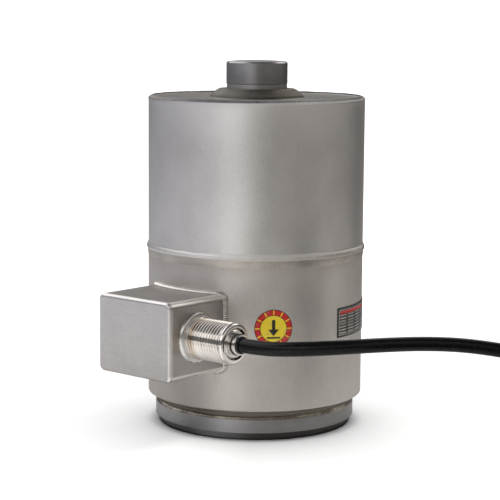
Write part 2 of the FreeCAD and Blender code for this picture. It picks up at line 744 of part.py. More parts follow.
def put(name, shape):
    if not shape.isValid():
        print(name, "is not valid")
    shape.exportStep("parts/%s.step" % name)


os.makedirs("parts", exist_ok=True)

put("spring_element", spring_element())
put("lower_shell", lower_shell())
put("upper_shell", upper_shell())
put("top_plate", top_plate())
put("girth_weld", girth_weld())
put("top_edge_weld", top_edge_weld())
put("post_weld", post_weld())
put("base_weld", base_weld())

put("box_body", box_body())
put("box_end_plate", box_end_plate())
put("box_weld", box_weld())

put("gland_weld", gland_weld())
put("gland_nipple", gland_nipple())
put("gland_inner_washer", gland_washer(SEAT_X))
put("gland_seal", gland_seal())
put("gland_outer_washer", gland_washer(NUT_START - WASHER_T))
put("gland_nut", gland_nut())
put("exit_bush", exit_bush())

SIDES = ("right", "rear", "left", "front")
for quarter, side_name in enumerate(SIDES):
    put("strain_gauge_" + side_name, strain_gauge(quarter))
    put("gauge_ribbon_" + side_name, gauge_ribbon(quarter))
put("terminal_board_front", terminal_board(-1))
put("terminal_board_rear", terminal_board(1))
put("board_spacers", board_spacers())
put("board_screws", board_screws())
put("feed_sleeve", feed_sleeve())
put("bridge_harness", bridge_harness())

put("trim_board", trim_board())
put("trim_board_posts", trim_board_posts())
put("trim_board_screws", trim_board_screws())
for number in range(4):
    put("trim_resistor_%d" % (number + 1), trim_resistor(number))

put("cable_inner_end", cable_inner_end())
INNER_COLOURS = ("red", "black", "green", "white", "shield")
for number, colour in enumerate(INNER_COLOURS):
    put("inner_lead_" + colour, inner_lead(number))

free_tube, bends, free_length = tube(CABLE_ROUTE, CABLE_R)
print("cable bend radii", [round(radius, 1) for radius in bends])
print("cable volume over section times length", free_tube.Volume / (math.pi * CABLE_R ** 2 * free_length))
put("cable_lead", free_tube.cut(cable_coil()))
put("cable_coil", cable_coil())
put("coil_ties", coil_ties())
for name, points in END_LEADS.items():
    lead, bends = end_lead(points)
    print(name, "bend radii", [round(radius, 1) for radius in bends])
    put(name, lead)
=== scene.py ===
import math

import bpy
from mathutils import Matrix, Vector


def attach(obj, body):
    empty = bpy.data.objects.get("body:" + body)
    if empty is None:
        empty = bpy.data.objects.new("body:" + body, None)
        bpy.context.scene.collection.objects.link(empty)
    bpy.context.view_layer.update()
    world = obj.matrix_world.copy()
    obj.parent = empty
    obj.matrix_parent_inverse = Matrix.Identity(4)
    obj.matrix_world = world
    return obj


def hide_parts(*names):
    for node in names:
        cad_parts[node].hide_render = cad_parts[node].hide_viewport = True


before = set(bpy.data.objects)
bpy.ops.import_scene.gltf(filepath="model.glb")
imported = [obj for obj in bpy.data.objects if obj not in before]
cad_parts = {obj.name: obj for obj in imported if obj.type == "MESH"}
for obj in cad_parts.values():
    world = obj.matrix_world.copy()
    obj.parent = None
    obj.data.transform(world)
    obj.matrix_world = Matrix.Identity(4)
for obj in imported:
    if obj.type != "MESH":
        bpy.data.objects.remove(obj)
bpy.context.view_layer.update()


# Spring element: base flange, gauge column and load button in one piece, turned from a bar of
# hardened alloy steel. The flange and the button stay bare and show fine turning lines.
class Value:
    """A socket on the way to a shader. Sums on it add the Math nodes that they need."""

    def __init__(self, finish, socket):
        self.finish = finish
        self.socket = socket

    def math(self, operation, first, second=0.0):
        return self.finish.node("ShaderNodeMath", {"operation": operation}, {0: first, 1: second})

    def __add__(self, other):
        return self.math("ADD", self, other)

    def __radd__(self, other):
        return self.math("ADD", other, self)

    def __sub__(self, other):
        return self.math("SUBTRACT", self, other)

    def __rsub__(self, other):
        return self.math("SUBTRACT", other, self)

    def __mul__(self, other):
        return self.math("MULTIPLY", self, other)

    def __rmul__(self, other):
        return self.math("MULTIPLY", other, self)

    def __truediv__(self, other):
        return self.math("DIVIDE", self, other)

    def __rtruediv__(self, other):
        return self.math("DIVIDE", other, self)

    def __pow__(self, other):
        return self.math("POWER", self, other)

    def __rpow__(self, other):
        return self.math("POWER", other, self)


class Finish:
    """The nodes of one finish, which end in the shader of a material or of the world."""

    def __init__(self, owner, shader="Principled BSDF"):
        owner.use_nodes = True
        self.owner = owner
        self.tree = owner.node_tree
        self.shader = self.tree.nodes[shader]

    def fill(self, node, sockets):
        for name, value in sockets.items():
            if isinstance(value, Value):
                self.tree.links.new(value.socket, node.inputs[name])
            else:
                node.inputs[name].default_value = value

    def node(self, kind, settings, sockets, out=0):
        made = self.tree.nodes.new(kind)
        for name, value in settings.items():
            if name == "stops":
                stops = made.color_ramp.elements
                for place, shade in value[1:-1]:
                    stops.new(place)
                for stop, (place, shade) in zip(stops, value):
                    stop.position = place
                    stop.color = shade
            else:
                setattr(made, name, value)
        self.fill(made, sockets)
        return Value(self, made.outputs[out])

    def place(self):
        return self.node("ShaderNodeTexCoord", {}, {}, "Object")

    def axes(self, place):
        """The x, y and z of a place, each as a value of its own."""
        split = self.node("ShaderNodeSeparateXYZ", {}, {0: place})
        return [Value(self, socket) for socket in split.socket.node.outputs]

    def grain(self, per_metre, detail):
        """Noise from about 0.25 to 0.75, with so many grains per metre along x, y and z."""
        stretched = self.node("ShaderNodeMapping", {}, {"Vector": self.place(), "Scale": per_metre})
        return self.node("ShaderNodeTexNoise", {}, {"Vector": stretched, "Scale": 1.0, "Detail": detail})

    def step(self, value, low, high):
        """0 below low, 1 above high, and smooth in between."""
        ends = {"Value": value, "From Min": low, "From Max": high}
        return self.node("ShaderNodeMapRange", {"interpolation_type": "SMOOTHSTEP"}, ends)

    def mix(self, share, first, second):
        settings = {"data_type": "RGBA", "clamp_factor": True}
        return self.node("ShaderNodeMix", settings, {0: share, 6: first, 7: second}, 2)

    def bump(self, height, distance):
        relief = {"Height": height, "Distance": distance, "Strength": 1.0}
        return self.node("ShaderNodeBump", {}, relief, "Normal")

    def set(self, sockets):
        self.fill(self.shader, sockets)
        return self.owner


def colour(red, green, blue):
    return (red, green, blue, 1.0)


def dress(finish, slot, *names):
    """Puts a finish on CAD nodes or new pieces. The slot is not used."""
    for name in names:
        piece = bpy.data.objects[name]
        piece.data.materials.clear()
        piece.data.materials.append(finish)


camera_right_east, camera_right_north = 0.757, 0.653


def toward_camera_right(east, north):
    """How far a place lies from the cell's axis, towards the camera's right."""
    return camera_right_east * east + camera_right_north * north


inside_from, inside_to = 0.05, 0.06
groove_from, groove_to = 0.1594, 0.1596
turning_depth = 0.000015
element = Finish(bpy.data.materials.new("element_steel"))
east, north, height = element.axes(element.place())
cut = element.grain((12.0, 12.0, 1800.0), 3.0)
stain = element.grain((60.0, 60.0, 90.0), 4.0)
tone = element.step(0.2 * cut + 0.8 * stain, 0.35, 0.65)
button_skin = element.mix(tone, colour(0.32, 0.312, 0.318), colour(0.4, 0.39, 0.396))
lit_side = element.mix(tone, colour(0.45, 0.45, 0.466), colour(0.54, 0.54, 0.557))
shaded_side = element.mix(tone, colour(0.23, 0.225, 0.225), colour(0.3, 0.294, 0.294))
# Painted light and shade: the flange is lighter on the left and darker towards the camera's right.
flange_skin = element.mix(element.step(toward_camera_right(east, north), -0.02, 0.012), lit_side, shaded_side)
# The foot band under the button is painted lighter: partly its polish, partly a painted highlight.
lit_foot_skin = element.mix(tone, colour(0.5, 0.485, 0.475), colour(0.62, 0.605, 0.595))
lower_skin = element.mix(element.step(height, inside_from, inside_to), flange_skin, lit_foot_skin)
element.set({
    "Base Color": element.mix(element.step(height, groove_from, groove_to), lower_skin, button_skin),
    "Metallic": 1.0,
    "Roughness": 0.31 + 0.12 * (stain - 0.5) + 0.1 * (cut - 0.5),
    "Anisotropic": 0.5,
    "Anisotropic Rotation": 0.25,
    "Normal": element.bump(cut, turning_depth),
})
dress(element.owner, "element_steel", "spring_element")


# Can: two shells drawn from stainless steel tube and a round top plate, blasted to a fine satin
# after welding. The lower shell is the warmer one, with a brown smear under the girth weld.
grain_depth = 0.00003
lit_top_from, lit_top_to = 0.13, 0.152
smear_from, smear_to = 0.074, 0.081
stain_shade_from, stain_shade_to = 0.0136, 0.0141


def satin(name):
    """Blasted steel, with the tone that its fine grain and its soft blotches give."""
    steel = Finish(bpy.data.materials.new(name))
    fine = steel.grain((1500.0, 1500.0, 1500.0), 2.0)
    blotch = steel.grain((55.0, 55.0, 40.0), 5.0)
    tone = steel.step(0.4 * fine + 0.6 * blotch, 0.34, 0.66)
    return steel, tone, fine, blotch


def nicks(steel, turn, share):
    """Short scratches in one direction, sparse and gathered in patches."""
    spin = {"Vector": steel.place(), "Rotation": (0.0, turn, 0.3), "Scale": (160.0, 1500.0, 1700.0)}
    scored = steel.node("ShaderNodeMapping", {}, spin)
    cut = steel.node("ShaderNodeTexNoise", {}, {"Vector": scored, "Scale": 1.0, "Detail": 1.0})
    patch = steel.grain((38.0, 38.0, 30.0), 2.0)
    return steel.step(cut, 0.69, 0.76) * steel.step(patch, 0.5, 0.62) * share


def can_steel(name, light, dark, lit_top, rough, smeared):
    """Satin steel with a painted highlight towards the top. The lower shell's has weld smears and a neck
    stained brown and painted dark.
    """
    steel, tone, fine, blotch = satin(name)
    scratch = nicks(steel, 0.45, 0.35)
    skin = steel.mix(tone, dark, light)
    skin = steel.mix(scratch, skin, colour(0.86, 0.83, 0.8))
    rough_now = rough + 0.1 * (blotch - 0.5) + 0.08 * (fine - 0.5)
    height = steel.axes(steel.place())[2]
    # Painted highlight: the steel is lightened towards the top, half way to lit_top.
    skin = steel.mix(0.5 * steel.step(height, lit_top_from, lit_top_to), skin, lit_top)
    if smeared:
        edge = height + 0.006 * (steel.grain((70.0, 70.0, 130.0), 4.0) - 0.5)
        smear = steel.step(edge, smear_from, smear_to)
        skin = steel.mix(0.3 * smear, skin, colour(0.5, 0.455, 0.405))
        rough_now = rough_now + 0.08 * smear
        # The neck under the lower shell is painted dark brown: partly real heat tint, partly painted shade in
        # the recess.
        stained_and_shaded = 1.0 - steel.step(height, stain_shade_from, stain_shade_to)
        streak = steel.step(steel.grain((25.0, 25.0, 2400.0), 2.0), 0.35, 0.65)
        brown_and_shade = steel.mix(streak, colour(0.16, 0.145, 0.115), colour(0.25, 0.23, 0.19))
        skin = steel.mix(0.92 * stained_and_shaded, skin, brown_and_shade)
    return steel.set({
        "Base Color": skin,
        "Metallic": 1.0,
        "Roughness": rough_now,
        "Anisotropic": 0.35,
        "Anisotropic Rotation": 0.25,
        "Normal": steel.bump(fine - 0.6 * scratch, grain_depth),
    })


upper_light = colour(0.78, 0.762, 0.75)
upper_dark = colour(0.66, 0.642, 0.63)
upper_lit_top = colour(0.97, 0.95, 0.935)
lower_light = colour(0.78, 0.742, 0.704)
lower_dark = colour(0.66, 0.626, 0.594)
# The top plate's steel is painted much darker than the shells', as painted shade.
shaded_plate_light = colour(0.3, 0.283, 0.273)
shaded_plate_dark = colour(0.25, 0.236, 0.228)
upper_steel = can_steel("upper_can_steel", upper_light, upper_dark, upper_lit_top, 0.34, smeared=False)
lower_steel = can_steel("lower_can_steel", lower_light, lower_dark, lower_light, 0.5, smeared=True)
plate_steel = can_steel("top_plate_steel", shaded_plate_light, shaded_plate_dark, shaded_plate_light, 0.36, smeared=False)
dress(upper_steel, "shell_steel", "upper_shell")
dress(lower_steel, "shell_steel", "lower_shell")
dress(plate_steel, "shell_steel", "top_plate")


# Welds: TIG beads of stainless steel round the girth, the top plate, the load post, the base and
# the side box, with overlapping ripples tinted straw to brown. Those on the girth and the top edge
# carry a painted highlight, a bright band along part of the bead.
def bead_steel(name, light, dark, tint, rough, ripples=None, lit_span=None, highlight_colour=None, lift=0.0):
    """Weld metal in its tints. The ripples have dark seams: so many, with a slant per metre of height
    about a middle height, from a lowest height up, and so deep. Between the two heights of lit_span the
    bead gets a painted highlight, which reaches a little higher on the camera's right, by lift."""
    steel = Finish(bpy.data.materials.new(name))
    patch = steel.grain((110.0, 110.0, 160.0), 4.0)
    fine = steel.grain((1400.0, 1400.0, 1400.0), 2.0)
    skin = steel.mix(steel.step(0.6 * patch + 0.4 * fine, 0.38, 0.62), dark, light)
    skin = steel.mix(steel.step(steel.grain((30.0, 30.0, 60.0), 3.0), 0.46, 0.66), skin, tint)
    east, north, height = steel.axes(steel.place())
    # Painted highlight: a bright band along part of the bead, higher on the camera's right by lift.
    if lit_span:
        lit_from, lit_to = lit_span
        lowered = height - lift * steel.step(toward_camera_right(east, north), -0.005, 0.025)
        highlight = steel.step(height, lit_from, lit_from + 0.0008)
        highlight = highlight * (1.0 - steel.step(lowered, lit_to - 0.0005, lit_to))
        skin = steel.mix(highlight, skin, highlight_colour)
    if ripples:
        count, slant, middle, lowest, depth = ripples
        turn = east.math("ARCTAN2", north, east)
        crest = turn.math("COSINE", count * turn - slant * (height - middle))
        seam = (1.0 - steel.step(crest, -0.9, 0.1)) * steel.step(height, lowest, lowest + 0.0004)
        skin = steel.mix(depth * seam, skin, colour(0.1, 0.09, 0.08))
    return steel.set({
        "Base Color": skin,
        "Metallic": 1.0,
        "Roughness": rough + 0.16 * (patch - 0.5),
        "Normal": steel.bump(fine, grain_depth),
    })


def keep(name, finish, slot):
    """Names the piece that was just modelled, finishes it and lets it ride on the cell."""
    piece = bpy.context.object
    piece.name = name
    piece.data.name = name
    bpy.ops.object.shade_smooth_by_angle(angle=math.radians(40.0))
    dress(finish, slot, name)
    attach(piece, "root")
    return piece


def uneven(piece, amount, grain):
    """Lifts and sinks a surface a little, as hand work does."""
    cloud = bpy.data.textures.new(piece.name + "_uneven", "CLOUDS")
    cloud.noise_scale = grain
    lift = piece.modifiers.new("uneven", "DISPLACE")
    lift.texture = cloud
    lift.texture_coords = "LOCAL"
    lift.strength = amount
    bpy.ops.object.modifier_apply(modifier="uneven")


def ripple(half_sizes, spot, turned):
    """One ripple of a bead: a flat lens, thin along x, as wide as y and as long as z."""
    bpy.ops.object.select_all(action="DESELECT")
    bpy.ops.mesh.primitive_uv_sphere_add(
        segments=8, ring_count=6, radius=1.0, location=spot, rotation=turned, scale=half_sizes,
    )
    bpy.ops.object.transform_apply(location=True, rotation=True, scale=True)


def ripple_ring(name, finish, count, half_sizes, reach, height, turned):
    """The ripples of a bead round the cell, each a lens turned by so many degrees about x, y and z."""
    ripple(half_sizes, (reach, 0.0, height), tuple(math.radians(turn) for turn in turned))
    bpy.ops.object.mode_set(mode="EDIT")
    bpy.ops.mesh.select_all(action="SELECT")
    bpy.ops.mesh.spin(
        steps=count - 1, dupli=True, angle=2.0 * math.pi * (count - 1) / count,
        center=(0.0, 0.0, 0.0), axis=(0.0, 0.0, 1.0),
    )
    bpy.ops.object.mode_set(mode="OBJECT")
    uneven(bpy.context.object, amount=0.0003, grain=0.004)
    keep(name, finish, "weld_steel")


girth_count, edge_count, collar_count, foot_count = 300, 260, 116, 232
girth_height, edge_height, collar_height, foot_height = 0.0842, 0.1535, 0.1555, 0.0101
girth_steel = bead_steel(
    "girth_bead", colour(0.66, 0.625, 0.58), colour(0.52, 0.487, 0.445), colour(0.56, 0.515, 0.455), 0.42,
    ripples=(girth_count, 4270.0, girth_height, 0.0824, 0.12),
    lit_span=(0.0824, 0.09), highlight_colour=colour(0.95, 0.93, 0.9),
)
edge_steel = bead_steel(
    "top_edge_bead", colour(0.32, 0.31, 0.32), colour(0.21, 0.204, 0.217), colour(0.26, 0.243, 0.238), 0.42,
    ripples=(edge_count, 3006.0, edge_height, 0.1527, 0.5),
    lit_span=(0.1, 0.1531), highlight_colour=colour(0.85, 0.83, 0.815), lift=0.0006,
)
collar_steel = bead_steel(
    "post_bead", colour(0.205, 0.19, 0.165), colour(0.14, 0.132, 0.114), colour(0.165, 0.148, 0.12), 0.44,
    ripples=(collar_count, 1500.0, collar_height, 0.15, 0.6),
)
# The base bead's light patches are partly its real tint and partly painted highlight, bright dashes that
# stand for glints on its ripples.
foot_steel = bead_steel(
    "base_bead", colour(0.9, 0.83, 0.72), colour(0.24, 0.215, 0.18), colour(0.22, 0.198, 0.16), 0.3,
    ripples=(foot_count, 1808.0, foot_height, 0.0, 0.3),
)
saddle_steel = bead_steel(
    "box_bead", colour(0.84, 0.82, 0.8), colour(0.7, 0.68, 0.66), colour(0.66, 0.62, 0.57), 0.28,
)
dress(girth_steel, "weld_steel", "girth_weld")
dress(edge_steel, "weld_steel", "top_edge_weld")
dress(collar_steel, "weld_steel", "post_weld")
dress(foot_steel, "weld_steel", "base_weld")
ripple_ring(
    "girth_ripples", girth_steel, girth_count, half_sizes=(0.00028, 0.0007, 0.0018),
    reach=0.05102, height=girth_height, turned=(-36.0, -6.0, 20.0),
)
ripple_ring(
    "top_edge_ripples", edge_steel, edge_count, half_sizes=(0.00042, 0.0008, 0.0013),
    reach=0.0499, height=edge_height, turned=(-30.0, -50.0, 18.0),
)
ripple_ring(
    "post_ripples", collar_steel, collar_count, half_sizes=(0.0003, 0.0009, 0.0027),
    reach=0.02, height=collar_height, turned=(-14.0, -49.0, 12.0),
)
ripple_ring(
    "base_ripples", foot_steel, foot_count, half_sizes=(0.0002, 0.0009, 0.0008),
    reach=0.0467, height=foot_height, turned=(-20.0, -29.0, 12.0),
)

can_radius = 0.0508
saddle_half_width, saddle_half_height = 0.0224, 0.0181
saddle_corner, saddle_height = 0.0034, 0.04995
leg_on_can, leg_on_box = 0.0008, 0.0025
ripple_run, corner_ripples = 0.0009, 8
saddle_ripple, ripple_sink = (0.0007, 0.0013, 0.0015), 0.0003
straight_x = saddle_half_width - saddle_corner
straight_z = saddle_half_height - saddle_corner
bend = math.pi / (4.0 * corner_ripples)
spot = Vector((saddle_half_width, -straight_z))
heading = math.pi / 2.0
stations = []
for run in (2.0 * straight_z, 2.0 * straight_x, 2.0 * straight_z, 2.0 * straight_x):
    parts = round(run / ripple_run)
    for part in range(parts):
        stations.append((spot.x, spot.y, heading))
        spot = spot + run / parts * Vector((math.cos(heading), math.sin(heading)))
    for part in range(corner_ripples):
        stations.append((spot.x, spot.y, heading))
        heading += bend
        spot = spot + 2.0 * saddle_corner * math.sin(bend) * Vector((math.cos(heading), math.sin(heading)))
        heading += bend
outwards = Vector((0.0, -1.0, 0.0))
ripple(saddle_ripple, (0.0, 0.0, 0.0), (0.0, 0.0, 0.0))
first = bpy.context.object
for x, z, heading in stations:
    from_can = Vector((x, -math.sqrt(can_radius ** 2 - x ** 2), 0.0)).normalized()
    from_box = Vector((math.sin(heading), 0.0, -math.cos(heading)))
    from_box = (from_box - from_box.dot(from_can) * from_can).normalized()
    along = from_can.cross(from_box)
    across = leg_on_can * from_box - leg_on_box * outwards
    across = (across - across.dot(along) * along).normalized()
    face = along.cross(across)
    face = face if face.dot(from_can + from_box) > 0.0 else -face
    spot = can_radius * from_can + Vector((0.0, 0.0, saddle_height + z))
    spot = spot + 0.5 * (leg_on_can * from_box + leg_on_box * outwards) - ripple_sink * face
    copy = bpy.data.objects.new("saddle_ripple", first.data.copy())
    bpy.context.scene.collection.objects.link(copy)
    turned = Matrix((face, along, face.cross(along))).transposed()
    copy.matrix_world = Matrix.LocRotScale(spot, turned, None)
    copy.select_set(True)
bpy.data.objects.remove(first)
bpy.context.view_layer.objects.active = copy
bpy.ops.object.join()
bpy.ops.object.transform_apply(location=True, rotation=True, scale=True)
uneven(bpy.context.object, amount=0.0001, grain=0.005)
saddle = keep("saddle_bead", saddle_steel, "weld_steel")
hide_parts("box_weld")


# Side box: a short rectangular tube of stainless steel, coped to the can's curve and welded to it,
# and closed by an end plate with rounded edges. Ground to a light satin, with a painted highlight on the long
# corners.
corner_across, corner_up, corner_soft = 0.0192, 0.0149, 0.0008


def box_skin(name, light, dark, rough, ground):
    """Satin steel, brushed sideways. The tube's long corners get a painted highlight, by so much."""
    steel, tone, fine, blotch = satin(name)
    brush = steel.grain((70.0, 70.0, 1500.0), 2.0)
    skin = steel.mix(steel.step(0.5 * tone + 0.5 * brush, 0.25, 0.75), dark, light)
    across, north, height = steel.axes(steel.place())
    aside = across.math("ABSOLUTE", across)
    off_middle = height.math("ABSOLUTE", height - saddle_height)
    # Painted highlight along the tube's long corners.
    corner_highlight = steel.step(aside, corner_across, corner_across + corner_soft)
    corner_highlight = corner_highlight * steel.step(off_middle, corner_up, corner_up + corner_soft)
    return steel.set({
        "Base Color": steel.mix(ground * corner_highlight, skin, colour(0.97, 0.945, 0.91)),
        "Metallic": 1.0,
        "Roughness": rough + 0.1 * (blotch - 0.5) + 0.08 * (fine - 0.5),
        "Normal": steel.bump(fine, grain_depth),
    })


# The same steel is painted darker on the box's body and lighter on its end plate: painted shade and light.
box_steel = box_skin("box_steel", colour(0.5, 0.48, 0.46), colour(0.42, 0.4, 0.385), 0.34, ground=1.0)
lit_end_steel = box_skin("end_plate_steel", colour(0.8, 0.775, 0.755), colour(0.7, 0.68, 0.665), 0.36, ground=0.0)
dress(box_steel, "shell_steel", "box_body")
dress(lit_end_steel, "shell_steel", "box_end_plate")


# Gland: a turned nipple with a conduit thread, welded into the box's right wall with a smooth ring,
# and a nut in its mouth that presses washers and a rubber seal round the cable. Bright stainless
# steel, straw-coloured at the weld.
gland_axis = (0.0, -0.0646, 0.0505)
weld_end = 0.0247
straw_from, straw_to = 0.0262, 0.0284
round_steps = 72


def bright_steel(name, light, dark, rough):
    """Polished steel with fine turning lines, straw-coloured where the weld heated it."""
    steel = Finish(bpy.data.materials.new(name))
    wear = steel.grain((220.0, 220.0, 220.0), 4.0)
    cut = steel.grain((2600.0, 120.0, 120.0), 2.0)
    across = steel.axes(steel.place())[0]
    straw = steel.step(across, weld_end, weld_end + 0.0005)
    straw = straw * (1.0 - steel.step(across, straw_from, straw_to))
    in_weld = 1.0 - steel.step(across, weld_end, weld_end + 0.0004)
    skin = steel.mix(steel.step(wear, 0.35, 0.65), dark, light)
    return steel.set({
        "Base Color": steel.mix(0.5 * straw, skin, colour(0.42, 0.29, 0.15)),
        "Metallic": 1.0,
        "Roughness": rough + 0.14 * (wear - 0.5) + 0.2 * in_weld,
        "Normal": steel.bump(cut, turning_depth),
    })


def rounding(place, reach, fillet, parts):
    """A quarter circle of profile points, from its top round to the end face."""
    turns = [math.pi / 2.0 * part / parts for part in range(parts + 1)]
    return [(place + fillet * math.sin(turn), reach + fillet * math.cos(turn)) for turn in turns]


def lathe(points, turns=1, pitch=0.0):
    """Spins a profile of (place along the axis, radius) points, round or along a thread."""
    profile = bpy.data.meshes.new("profile")
    closing = [(len(points) - 1, 0)] if pitch == 0.0 else []
    edges = [(number, number + 1) for number in range(len(points) - 1)] + closing
    profile.from_pydata([(x, 0.0, radius) for x, radius in points], edges, [])
    piece = bpy.data.objects.new("turned", profile)
    bpy.context.scene.collection.objects.link(piece)
    bpy.ops.object.select_all(action="DESELECT")
    piece.select_set(True)
    bpy.context.view_layer.objects.active = piece
    spin = piece.modifiers.new("spin", "SCREW")
    spin.axis = "X"
    spin.screw_offset = pitch
    spin.iterations = turns
    spin.steps = round_steps
    spin.render_steps = round_steps
    bpy.ops.object.modifier_apply(modifier="spin")
    return piece


def settle():
    """Closes the seams of what was just spun and moves it to the gland's axis."""
    bpy.ops.object.mode_set(mode="EDIT")
    bpy.ops.mesh.select_all(action="SELECT")
    bpy.ops.mesh.remove_doubles(threshold=0.000002)
    bpy.ops.mesh.normals_make_consistent(inside=False)
    bpy.ops.transform.translate(value=gland_axis)
    bpy.ops.object.mode_set(mode="OBJECT")


ring_start, ring_reach, ring_fillet, ring_bore = 0.0219, 0.0102, 0.0016, 0.0094
ring_end = ring_start + ring_fillet
lathe([*rounding(ring_start, ring_reach, ring_fillet, 9), (ring_end, ring_bore), (ring_start, ring_bore)])
settle()
ring_steel = box_skin("gland_bead", colour(0.78, 0.76, 0.74), colour(0.66, 0.64, 0.62), 0.28, ground=0.0)
ring = keep("gland_ring", ring_steel, "weld_steel")
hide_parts("gland_weld")
thread_start, thread_end, thread_pitch, thread_turns = 0.0242, 0.0426, 0.0016, 12
crest, root = 0.0093, 0.0083
nipple_start, wall_face, collar_end, chamfer_end = 0.02, 0.022, 0.0248, 0.025
root_start, root_end = 0.0251, 0.0422
spigot_reach, collar_reach, nose_foot = 0.008, 0.0095, 0.00915
cable_bore, seal_bore, nut_bore = 0.003575, 0.0055, 0.0072
seal_floor, nut_floor = 0.0272, 0.0364
nose_start, nose_reach, nose_fillet = 0.04295, 0.0078, 0.0015
body = lathe([
    (nipple_start, cable_bore), (nipple_start, spigot_reach), (wall_face, spigot_reach),
    (wall_face, collar_reach), (collar_end, collar_reach), (chamfer_end, crest), (root_start, root),
    (root_end, root), (thread_end, nose_foot), *rounding(nose_start, nose_reach, nose_fillet, 6),
    (nose_start + nose_fillet, nut_bore), (nut_floor, nut_bore), (nut_floor, seal_bore),
    (seal_floor, seal_bore), (seal_floor, cable_bore),
])
flank = [
    (0.0, -0.05), (0.08, 0.02), (0.18, 0.2), (0.34, 0.76), (0.42, 0.94), (0.5, 1.0),
    (0.58, 0.94), (0.66, 0.76), (0.82, 0.2), (0.92, 0.02), (1.0, -0.05),
]
thread = lathe(
    [(thread_start + (share - 1.0) * thread_pitch, root + rise * (crest - root)) for share, rise in flank],
    thread_turns, thread_pitch,
)
run_out, sunk_root = 0.0009, root - 0.00005
for point in thread.data.vertices:
    reach = math.hypot(point.co.y, point.co.z)
    from_end = min(point.co.x - thread_start, thread_end - point.co.x)
    fade = min(1.0, max(0.0, from_end / run_out))
    wanted = sunk_root + (reach - sunk_root) * fade
    point.co.y *= wanted / reach
    point.co.z *= wanted / reach
body.select_set(True)
bpy.context.view_layer.objects.active = body
bpy.ops.object.join()
settle()
nipple_steel = bright_steel("nipple_steel", colour(0.88, 0.845, 0.81), colour(0.78, 0.745, 0.71), 0.07)
nipple = keep("threaded_nipple", nipple_steel, "gland_steel")
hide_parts("gland_nipple")
nut_steel = bright_steel("nut_steel", colour(0.8, 0.775, 0.745), colour(0.7, 0.675, 0.645), 0.15)
dress(nut_steel, "gland_steel", "gland_nut", "gland_inner_washer", "gland_outer_washer")


# Seal and bush: moulded black rubber rings on the cable. The nut squeezes the seal between two
# washers, and the bush just shows in the nut's mouth.
def moulded(name, deep, worn, rough, grains, gloss=0.5):
    """Plastic, rubber or lacquer with slight patches of wear."""
    skin = Finish(bpy.data.materials.new(name))
    patch = skin.grain((grains, grains, grains), 4.0)
    return skin.set({
        "Base Color": skin.mix(skin.step(patch, 0.35, 0.7), deep, worn),
        "Roughness": rough + 0.3 * (patch - 0.5),
        "Specular IOR Level": gloss,
        "Normal": skin.bump(patch, grain_depth),
    })


rubber = moulded("seal_rubber", colour(0.012, 0.012, 0.013), colour(0.03, 0.03, 0.032), 0.55, 900.0)
dress(rubber, "seal_rubber", "gland_seal", "exit_bush")


# Gauges and bridge: foil gauges glued to the column's four flats, ribbons of fine leads up to a
# ring board in two halves, and a bundle of wires through the feed sleeve to the trim board.
def turned_steel(name, light, dark, rough, lines):
    """Bare turned metal with fine lines round the upright axis, so many per metre of height."""
    steel = Finish(bpy.data.materials.new(name))
    cut = steel.grain((12.0, 12.0, lines), 3.0)
    stain = steel.grain((60.0, 60.0, 90.0), 4.0)
    return steel.set({
        "Base Color": steel.mix(steel.step(0.4 * cut + 0.6 * stain, 0.35, 0.65), dark, light),
        "Metallic": 1.0,
        "Roughness": rough + 0.12 * (stain - 0.5) + 0.1 * (cut - 0.5),
        "Anisotropic": 0.5,
        "Anisotropic Rotation": 0.25,
        "Normal": steel.bump(cut, grain_depth),
    })


gauge_film = moulded("gauge_film", colour(0.5, 0.25, 0.05), colour(0.62, 0.36, 0.1), 0.4, 600.0)
board_green = moulded("circuit_board", colour(0.01, 0.11, 0.05), colour(0.02, 0.17, 0.08), 0.4, 500.0)
feed_plastic = moulded("feed_plastic", colour(0.7, 0.68, 0.62), colour(0.78, 0.76, 0.7), 0.45, 400.0)
harness_jacket = moulded("harness_jacket", colour(0.3, 0.3, 0.31), colour(0.4, 0.4, 0.4), 0.5, 700.0)
resistor_winding = moulded("resistor_winding", colour(0.25, 0.1, 0.03), colour(0.4, 0.18, 0.06), 0.4, 900.0)
brass = turned_steel("brass", colour(0.75, 0.55, 0.25), colour(0.6, 0.42, 0.18), 0.3, 900.0)
screw_steel = turned_steel("screw_steel", colour(0.6, 0.6, 0.6), colour(0.45, 0.45, 0.45), 0.3, 1500.0)
sides = ("right", "rear", "left", "front")
dress(gauge_film, "gauge_film", *("strain_gauge_" + side for side in sides))
dress(gauge_film, "gauge_film", *("gauge_ribbon_" + side for side in sides))
dress(board_green, "circuit_board", "terminal_board_front", "terminal_board_rear", "trim_board")
dress(feed_plastic, "feed_plastic", "feed_sleeve")
dress(harness_jacket, "harness_jacket", "bridge_harness")
dress(resistor_winding, "resistor_winding", *(f"trim_resistor_{number}" for number in range(1, 5)))
dress(brass, "brass", "board_spacers", "trim_board_posts")
dress(screw_steel, "screw_steel", "board_screws", "trim_board_screws")


# Cable: a round quarter-inch lead with a black jacket, straight out of the gland, then sagging
# past the can. The length that isn't in use lies beside the cell in a coil with three ties.
cable_route = [
    (0.04835, -0.0646, 0.0505), (0.0595, -0.0646, 0.0505), (0.0718, -0.0611, 0.0514),
    (0.0831, -0.0531, 0.0522), (0.0924, -0.0410, 0.0526), (0.0995, -0.0268, 0.0523),
    (0.1071, -0.0126, 0.0517), (0.1172, 0.0014, 0.0505), (0.1302, 0.0143, 0.0479),
    (0.1472, 0.0263, 0.0441), (0.1660, 0.0364, 0.0394), (0.1860, 0.0453, 0.0346),
    (0.2061, 0.0541, 0.0306),
]
cable_radius = 0.003175
coil_middle = (0.228, 0.0)
coil_outer, coil_inner = 0.0584, 0.0342
coil_top, layer_drop, layers = 0.030075, 0.0064, 5
turns_in_layer, turns_flat, points_in_turn = 4, 11 / 3, 16
coil_start = math.radians(112.0)
bulge = 8.0 / (6.0 + 2.0 * math.cos(2.0 * math.pi / points_in_turn))
